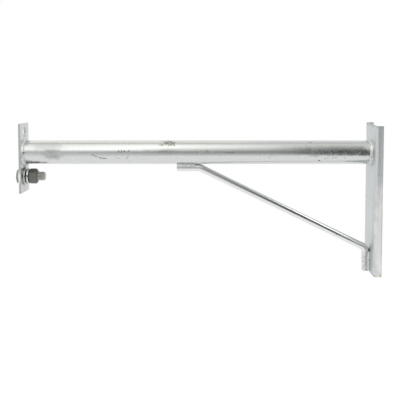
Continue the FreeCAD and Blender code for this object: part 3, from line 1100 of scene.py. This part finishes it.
def ring_weld(name, face_x, side, limit, node, sizes, stop_turn, lean):
    """The fillet round the tube's end against a flat face, with its ripples. It lies further along
    the tube than up the face by twice its lean, and stays within the limit to the front and back."""
    around, across = 408, 14
    leg = sizes.weld_leg
    sunk = 0.4 * MM
    stop_lump, stop_width = 0.5 * MM, 0.12
    top_loss, top_width = 1.3 * MM, 0.9
    fullness = 0.62
    rows = []
    for turn in turns(around):
        outward = on_circle(0, 1, turn)
        room = limit / max(abs(outward.y), 1e-6) - TUBE_RADIUS
        uneven = wobble(outward * TUBE_RADIUS + Vector((side, 0, 0)), RING_BEAD_SWELL)
        past_stop = (turn - stop_turn) % (2 * math.pi)
        from_stop = min(past_stop, 2 * math.pi - past_stop)
        lump = stop_lump * math.exp(-(from_stop / stop_width) ** 2)
        thin = top_loss * math.exp(-((turn - math.pi / 2) / top_width) ** 2)
        on_face = min(leg - lean - RIPPLE_ROOM - thin + uneven + lump, room - 0.1 * MM)
        on_tube = leg + lean - RIPPLE_ROOM - thin + 0.8 * uneven + lump

        def place(axial, radial):
            return Vector((face_x + side * axial, 0, 0)) + outward * (TUBE_RADIUS + radial)

        ring = [place(-sunk, -sunk), place(-sunk, on_face - 0.05 * MM)]
        for step in range(across + 1):
            share = step / across
            bow = math.pi / 2 * share
            flat = Vector((share, 1 - share))
            spot = flat.lerp(Vector((math.sin(bow), math.cos(bow))), fullness)
            phase = sizes.ring_ripples * turn / (2 * math.pi) + 0.45 * (2 * share - 1) ** 2
            lift = ripple_shape(phase) * math.sin(math.pi * share) ** 0.5 - 0.3
            reach = 1 + sizes.ripple_height * lift / leg
            ring.append(place(on_tube * spot.x * reach, on_face * spot.y * reach))
        ring.append(place(on_tube, -sunk))
        rows.append(ring)
    bm = rows_mesh(rows, closed_rows=True)
    make_piece(name, bm, "weld", node, 50)


def bead_weld(name, start, end, radius, node, sizes, seed):
    """A straight bead with ripples and rounded ends, sunk into the two pieces that it joins."""
    around, row_gap = 40, 0.35 * MM
    ripple_gap = 2.6 * MM
    end_length = 1.7 * radius
    length = (end - start).length
    along = (end - start).normalized()
    first = Vector((0, 1, 0)) if abs(along.y) < 0.5 else Vector((1, 0, 0))
    second = along.cross(first).normalized()
    count = round(length / row_gap)
    rows = []
    for row in range(count + 1):
        reach = length * row / count
        edge = min(reach, length - reach) / end_length
        taper = math.sqrt(max(1 - (1 - min(edge, 1)) ** 2, 0.003))
        centre = start + along * reach
        ring = []
        for turn in turns(around):
            arm = first * math.cos(turn) + second * math.sin(turn)
            phase = reach / ripple_gap + 0.25 * math.cos(2 * turn) + seed
            swell = wobble(centre + arm * radius + Vector((0, seed, 0)), BEAD_SWELL)
            size = radius - RIPPLE_ROOM + swell + sizes.ripple_height * ripple_shape(phase)
            ring.append(centre + arm * (size * taper))
        rows.append(ring)
    make_piece(name, rows_mesh(rows, caps=True), "weld", node, 60)


# Where the beads lie, in millimetres: the brace's beads off the middle and under the tube's axis, the
# foot's beads off the middle and out from the channel's web
BRACE_BEAD_OFF, BRACE_BEAD_DROP = 5.0, 16.5
FOOT_BEAD_OFF, FOOT_BEAD_OUT = 4.5, 1.0

# Where the ring welds start and stop, as a turn in radians, and the lean of the channel's ring
PLATE_STOP, CHANNEL_STOP = 0.35, 5.9
CHANNEL_LEAN = 1.2 * MM


def build_welds(sizes):
    edge_gap = 0.4 * MM
    plate_limit = PLATE_HIGH.y - edge_gap
    channel_limit = CHANNEL_HIGH.y - sizes.sheet_thickness - sizes.bend_inside - edge_gap
    ring_weld("plate_bead", PLATE_HIGH.x, 1, plate_limit, "plate_weld", sizes, PLATE_STOP, 0)
    ring_weld("channel_bead", CHANNEL_LOW.x, -1, channel_limit, "channel_weld", sizes,
              CHANNEL_STOP, CHANNEL_LEAN)
    for side, word in ((-1, "front"), (1, "back")):
        low, high = node_box(f"brace_weld_{word}")
        y, z = side * BRACE_BEAD_OFF * MM, -BRACE_BEAD_DROP * MM
        bead_weld(f"brace_bead_{word}", Vector((low.x, y, z)), Vector((high.x, y, z)),
                  sizes.brace_bead, f"brace_weld_{word}", sizes, side * 0.3)
        low, high = node_box(f"foot_weld_{word}")
        x, y = CHANNEL_LOW.x - FOOT_BEAD_OUT * MM, side * FOOT_BEAD_OFF * MM
        bead_weld(f"foot_bead_{word}", Vector((x, y, high.z)), Vector((x, y, low.z)),
                  sizes.foot_bead, f"foot_weld_{word}", sizes, side * 0.6)


def turned_rows(profile, around):
    """Rows of points for (x, radius) pairs turned about the bolt's axis."""
    return [[on_circle(x, radius, turn, BOLT_Z) for turn in turns(around)] for x, radius in profile]


def hexagon_rows(start, places, corner_turn, turned_ends, around, face_width, sizes):
    """Rows of a hexagon bar at distances from its start, turned off at one end or at both."""
    half = sizes.hex_flats / 2
    corner = half / math.cos(math.pi / 6) - 0.15 * MM
    height = places[-1]
    rows = []
    for depth in places:
        from_end = min(depth, height - depth) if turned_ends == 2 else depth
        cone = face_width / 2 + from_end / math.tan(math.radians(30))
        ring = []
        for turn in turns(around):
            off_flat = (turn - corner_turn) % (math.pi / 3) - math.pi / 6
            size = min(half / math.cos(off_flat), corner, cone)
            ring.append(on_circle(start + depth, size, turn, BOLT_Z))
        rows.append(ring)
    return rows


def build_bolt(sizes):
    around = 144
    radius = sizes.thread / 2
    head = PLATE_LOW.x - BOLT_LOW.x
    face = sizes.hex_face / 2
    bulge = 0.25 * MM
    dome = [(BOLT_LOW.x + bulge * share ** 2, face * share) for share in (0.1, 0.35, 0.6, 0.8, 0.93)]
    depths = (0.25, 0.35, 0.5, 0.7, 0.9, 1.1, 1.3, 1.6, 2.2, 3.4, 5.0)
    places = [depth * MM for depth in depths] + [head - 0.15 * MM, head]
    rows = turned_rows(dome, around)
    rows += hexagon_rows(BOLT_LOW.x, places, 0.0, 1, around, sizes.hex_face, sizes)
    rows += turned_rows([(PLATE_LOW.x, radius), (PLATE_HIGH.x, radius)], around)
    start, tip = PLATE_HIGH.x + 0.8 * MM, BOLT_HIGH.x
    run_out = 3 * MM
    tip_chamfer = 1.2 * MM
    flank_start, flank_width = 0.25, 0.6
    tip_rings = (3.4, 1.6)
    steps = round((tip - start) / (sizes.thread_pitch / 12))
    for step in range(steps + 1):
        x = start + (tip - start) * step / steps
        ring = []
        for column, turn in enumerate(turns(around)):
            phase = ((x - start) / sizes.thread_pitch - column / around) % 1.0
            flank = min(max((abs(phase - 0.5) * 2 - flank_start) / flank_width, 0), 1)
            cut = sizes.thread_depth * flank * smooth_step(0, run_out, x - start)
            size = min(radius - cut, radius - tip_chamfer + (tip - x))
            place = Vector((x, size * math.cos(turn), size * math.sin(turn)))
            size += min(wobble(place, THREAD_GRAIN), radius - size)
            ring.append(on_circle(x, size, turn, BOLT_Z))
        rows.append(ring)
    rows += turned_rows([(tip, inner * MM) for inner in tip_rings], around)
    make_piece("bolt_skin", rows_mesh(rows, caps=True), "bolt", "hex_bolt", 30)


def rounded_profile(low_x, high_x, inner, outer, rounding):
    """A closed (x, radius) profile of a washer, with rounded corners."""
    return rounded_rectangle((low_x, inner), (high_x, outer), rounding, 4)(0)


def build_washers(sizes):
    outer = (WASHER_HIGH.z - WASHER_LOW.z) / 2
    profile = rounded_profile(WASHER_LOW.x, WASHER_HIGH.x, sizes.washer_bore / 2, outer, 0.4 * MM)
    bm = rows_mesh(turned_rows(profile, 96), closed_rows=True)
    make_piece("washer_skin", bm, "washer", "flat_washer", 60)
    wire = sizes.spring_wire
    rise = SPRING_HIGH.x - SPRING_LOW.x - wire
    outer = (SPRING_HIGH.y - SPRING_LOW.y) / 2
    steps = 120
    first_end, sweep = 3.5, 351.0
    rows = []
    for step in range(steps + 1):
        share = step / steps
        turn = math.radians(first_end - share * sweep)
        back = SPRING_LOW.x + share * rise
        section = rounded_profile(back, back + wire, sizes.spring_bore / 2, outer, 0.3 * MM)
        rows.append([on_circle(x, radius, turn, BOLT_Z) for x, radius in section])
    bm = rows_mesh(rows, caps=True)
    make_piece("spring_skin", bm, "washer", "spring_washer", 50)


def build_nut(sizes):
    around = 144
    bore = sizes.thread / 2
    sink = 0.9 * MM
    start, end = NUT_LOW.x, NUT_HIGH.x
    height = end - start
    depths = (0, 0.03, 0.1, 0.25, 0.4, 0.55, 0.7, 0.85, 1.0, 1.2, 1.5, 2.0, 3.4)
    places = [depth * MM for depth in depths]
    places += [height / 2] + [height - depth for depth in reversed(places)]
    rows = hexagon_rows(start, places, math.pi / 6, 2, around, sizes.nut_face, sizes)
    rows += turned_rows(
        [(end, bore + sink), (end - sink, bore), (start + sink, bore), (start, bore + sink)], around)
    make_piece("nut_skin", rows_mesh(rows, closed_rows=True), "nut", "hex_nut", 24)


# Stage

WARM_WHITE = (1.0, 1.0, 0.97, 1.0)
WHITE = (1.0, 1.0, 1.0, 1.0)
SOFTBOX_SIZE = (0.95, 0.80)
SOFTBOX_PLACE = (-0.45, -0.30, 1.20)
FLOOR_REACH = 6.0
SENSOR_WIDTH = 36.0
CAMERA_REACH = (0.01, 50.0)

# The reflectors' x ranges and their distances from the tube's axis, in metres
LEFT, MIDDLE, MIDDLE_FAR = (-1.4, -0.45), (-0.45, 0.12), (0.12, 0.50)
CARD, RIGHT, SIDE, FAR_RIGHT = (-0.02, 0.05), (0.05, 0.23), (0.23, 0.36), (1.02, 1.9)
FAR, NEAR = 1.5, 0.6
REFLECTORS = (
    # name, x range, distance, angles, levels (low left, low right, high left, high right)
    ("left_foot", LEFT, FAR, (-46, -22), (1.0, 1.0, 1.0, 0.82)),
    ("left_wall", LEFT, FAR, (-22, 8), (1.0, 0.82, 0.85, 0.48)),
    ("left_rise", LEFT, FAR, (8, 32), (0.85, 0.48, 1.15, 1.98)),
    ("left_softbox", LEFT, FAR, (32, 86), (1.15, 1.98, 1.05, 1.40)),
    ("middle_foot", MIDDLE, FAR, (-48, -28), (1.0, 1.0, 0.92, 0.90)),
    ("middle_skirting", MIDDLE, FAR, (-28, -16), (0.92, 0.90, 0.68, 0.64)),
    ("middle_wall", MIDDLE, FAR, (-16, -7), (0.68, 0.64, 0.62, 0.52)),
    ("middle_band", MIDDLE, FAR, (-7, 15), (0.52, 0.40, 0.48, 0.36)),
    ("middle_rise", MIDDLE, FAR, (15, 55), (0.66, 0.48, 1.95, 0.95)),
    ("middle_softbox", MIDDLE, FAR, (55, 86), (1.95, 0.95, 1.40, 0.92)),
    ("far_skirting", MIDDLE_FAR, FAR, (-34, -7), (1.00, 1.00, 0.85, 0.85)),
    ("far_band", MIDDLE_FAR, FAR, (-7, 20), (0.32, 0.22, 0.30, 0.22)),
    ("far_rise", MIDDLE_FAR, FAR, (20, 55), (0.45, 0.45, 0.95, 0.95)),
    ("far_softbox", MIDDLE_FAR, FAR, (55, 86), (0.95, 0.95, 0.92, 0.92)),
    ("dark_card", CARD, NEAR, (-17, 30), (0.30, 0.05, 0.26, 0.07)),
    ("dark_card_rise", CARD, NEAR, (30, 82), (0.12, 0.10, 0.97, 0.94)),
    ("dark_wall", RIGHT, NEAR, (-28, 16), (0.02, 0.13, 0.04, 0.12)),
    ("dark_rise", RIGHT, NEAR, (16, 44), (0.05, 0.14, 0.42, 0.42)),
    ("dark_top", RIGHT, NEAR, (44, 82), (0.42, 0.42, 0.97, 0.92)),
    ("dark_side", SIDE, NEAR, (4, 48), (0.14, 0.34, 0.22, 0.40)),
    ("right_gap", (0.50, 1.02), FAR, (36, 104), (0.95, 0.70, 0.95, 0.75)),
    ("right_softbox", FAR_RIGHT, FAR, (48, 104), (2.8, 2.8, 2.2, 2.2)),
    ("top_gap_left", (-1.4, 0.0), FAR, (87, 107), (0.80, 0.80, 0.84, 0.84)),
    ("top_gap_right", (0.0, 0.62), FAR, (87, 118), (0.78, 0.78, 0.74, 0.74)),
    ("back_softbox", (-1.4, -0.05), FAR, (107, 160), (1.25, 1.05, 1.25, 1.05)),
)
REFLECTOR_STEPS = 12
WARM_ABOVE = 50


def reflector(name, x_range, distance, angles, levels):
    """A curved studio reflector round the object that only reflections see. The angles turn from the
    camera's side over the top, in degrees. The levels are its light at the corners, and it fades
    evenly between them. Those that reach overhead are warmer."""
    lowest, highest = angles
    rows = []
    for row in range(REFLECTOR_STEPS + 1):
        angle = math.radians(lowest + (highest - lowest) * row / REFLECTOR_STEPS)
        rows.append([on_circle(x, distance, angle) for x in x_range])
    made = mesh_object(name, rows_mesh(rows, closed_around=False))
    level = made.data.attributes.new("level", "FLOAT", "POINT")
    for row in range(REFLECTOR_STEPS + 1):
        for side in range(2):
            low, high = levels[side], levels[2 + side]
            level.data[2 * row + side].value = low + (high - low) * row / REFLECTOR_STEPS
    material = bpy.data.materials.new(name)
    tree = empty_tree(material)
    shade = add_node(tree, "ShaderNodeAttribute", attribute_name="level", attribute_type="GEOMETRY")
    glow = add_node(tree, "ShaderNodeEmission", {
        "Color": WARM_WHITE if highest > WARM_ABOVE else WHITE, "Strength": shade.outputs["Fac"]})
    add_node(tree, "ShaderNodeOutputMaterial", {"Surface": glow.outputs["Emission"]})
    made.data.materials.append(material)
    made.visible_camera = False
    made.visible_diffuse = False
    made.visible_shadow = False


def seen_directly(tree):
    """1 for rays from the camera, off a glossy surface or through glass, and 0 for the others."""
    path = tree.nodes.new("ShaderNodeLightPath")
    seen = maths(tree, "ADD", path.outputs["Is Camera Ray"], path.outputs["Is Glossy Ray"])
    return maths(tree, "ADD", seen, path.outputs["Is Transmission Ray"], clamp=True)


def build_floor(stage):
    bm = bmesh.new()
    place = Matrix.Translation((0, 0, CHANNEL_LOW.z - stage.floor_drop))
    bmesh.ops.create_grid(bm, x_segments=8, y_segments=8, size=FLOOR_REACH, matrix=place)
    floor = mesh_object("studio_floor", bm)
    material = bpy.data.materials.new("studio_floor")
    tree = empty_tree(material)
    glow = maths(tree, "MULTIPLY", seen_directly(tree), stage.floor_glow)
    shader = add_node(tree, "ShaderNodeBsdfPrincipled", {
        "Base Color": opaque(stage.floor_colour), "Roughness": 0.9, "Emission Color": WHITE,
        "Emission Strength": glow})
    add_node(tree, "ShaderNodeOutputMaterial", {"Surface": shader.outputs["BSDF"]})
    floor.data.materials.append(material)


def build_world(stage):
    """Light from all round, and plain white where the background is seen directly."""
    world = bpy.data.worlds.new("studio")
    bpy.context.scene.world = world
    tree = empty_tree(world)
    light = add_node(tree, "ShaderNodeBackground", {"Color": WHITE, "Strength": stage.room_light})
    white = add_node(tree, "ShaderNodeBackground", {"Color": WHITE, "Strength": 1.0})
    mix = add_node(tree, "ShaderNodeMixShader", {
        0: seen_directly(tree), 1: light.outputs["Background"], 2: white.outputs["Background"]})
    add_node(tree, "ShaderNodeOutputWorld", {"Surface": mix.outputs["Shader"]})


def build_lights(stage):
    lamp = bpy.data.lights.new("overhead_softbox", "AREA")
    lamp.shape = "RECTANGLE"
    lamp.size, lamp.size_y = SOFTBOX_SIZE
    lamp.energy = stage.overhead_power
    made = bpy.data.objects.new("overhead_softbox", lamp)
    made.location = SOFTBOX_PLACE
    made.visible_glossy = False
    bpy.context.scene.collection.objects.link(made)
    for settings in REFLECTORS:
        reflector(*settings)


def build_camera(stage):
    data = bpy.data.cameras.new("photo_camera")
    data.sensor_width = SENSOR_WIDTH
    data.lens = stage.lens
    data.shift_y = stage.shift_down
    data.clip_start, data.clip_end = CAMERA_REACH
    camera = bpy.data.objects.new("photo_camera", data)
    camera.location = stage.camera_place
    camera.rotation_euler = (math.pi / 2 - stage.camera_pitch, 0, 0)
    bpy.context.scene.collection.objects.link(camera)
    bpy.context.scene.camera = camera


# Operators, one for each group of pieces

class ARM_OT_tube(bpy.types.Operator):
    """Make the tube with its dent, dross and scratches"""
    bl_idname = "arm.tube"
    bl_label = "Tube"

    def execute(self, context):
        build_tube(context.scene.arm_sizes)
        return {"FINISHED"}


class ARM_OT_plate(bpy.types.Operator):
    """Make the end plate with its holes"""
    bl_idname = "arm.plate"
    bl_label = "End plate"

    def execute(self, context):
        build_plate(context.scene.arm_sizes)
        return {"FINISHED"}


class ARM_OT_channel(bpy.types.Operator):
    """Make the folded channel that seats against the pole"""
    bl_idname = "arm.channel"
    bl_label = "Pole channel"

    def execute(self, context):
        build_channel(context.scene.arm_sizes)
        return {"FINISHED"}


class ARM_OT_brace(bpy.types.Operator):
    """Make the bent brace rod"""
    bl_idname = "arm.brace"
    bl_label = "Brace rod"

    def execute(self, context):
        build_brace(context.scene.arm_sizes)
        return {"FINISHED"}


class ARM_OT_welds(bpy.types.Operator):
    """Make the six weld beads"""
    bl_idname = "arm.welds"
    bl_label = "Welds"

    def execute(self, context):
        build_welds(context.scene.arm_sizes)
        return {"FINISHED"}


class ARM_OT_bolt(bpy.types.Operator):
    """Make the clamp bolt, its washers and its nut"""
    bl_idname = "arm.bolt"
    bl_label = "Clamp bolt"

    def execute(self, context):
        sizes = context.scene.arm_sizes
        build_bolt(sizes)
        build_washers(sizes)
        build_nut(sizes)
        return {"FINISHED"}


class ARM_OT_stage(bpy.types.Operator):
    """Make the floor, the lights and the camera"""
    bl_idname = "arm.stage"
    bl_label = "Stage"

    def execute(self, context):
        stage = context.scene.arm_stage
        build_world(stage)
        build_floor(stage)
        build_lights(stage)
        build_camera(stage)
        context.scene.view_settings.view_transform = "Standard"
        return {"FINISHED"}


OPERATORS = (ARM_OT_tube, ARM_OT_plate, ARM_OT_channel, ARM_OT_brace, ARM_OT_welds, ARM_OT_bolt,
             ARM_OT_stage)


class ARM_PT_panel(bpy.types.Panel):
    """Lists the arm's groups of pieces and its sizes"""
    bl_idname = "ARM_PT_panel"
    bl_label = "Extension arm"
    bl_space_type = "VIEW_3D"
    bl_region_type = "UI"
    bl_category = "Extension arm"

    def draw(self, context):
        for operator in OPERATORS:
            self.layout.operator(operator.bl_idname)
        for settings in (context.scene.arm_sizes, context.scene.arm_finish, context.scene.arm_stage):
            box = self.layout.box()
            for name in settings.bl_rna.properties.keys():
                if name not in ("rna_type", "name"):
                    box.prop(settings, name)


CLASSES = (ArmSizes, ArmFinish, StageSettings) + OPERATORS + (ARM_PT_panel,)


def register():
    for cls in CLASSES:
        bpy.utils.register_class(cls)
    bpy.types.Scene.arm_sizes = PointerProperty(type=ArmSizes)
    bpy.types.Scene.arm_finish = PointerProperty(type=ArmFinish)
    bpy.types.Scene.arm_stage = PointerProperty(type=StageSettings)


def unregister():
    del bpy.types.Scene.arm_stage
    del bpy.types.Scene.arm_finish
    del bpy.types.Scene.arm_sizes
    for cls in reversed(CLASSES):
        bpy.utils.unregister_class(cls)


def main():
    register()
    for name in ("tube", "plate", "channel", "brace", "welds", "bolt", "stage"):
        getattr(bpy.ops.arm, name)()


if __name__ == "__main__":
    main()
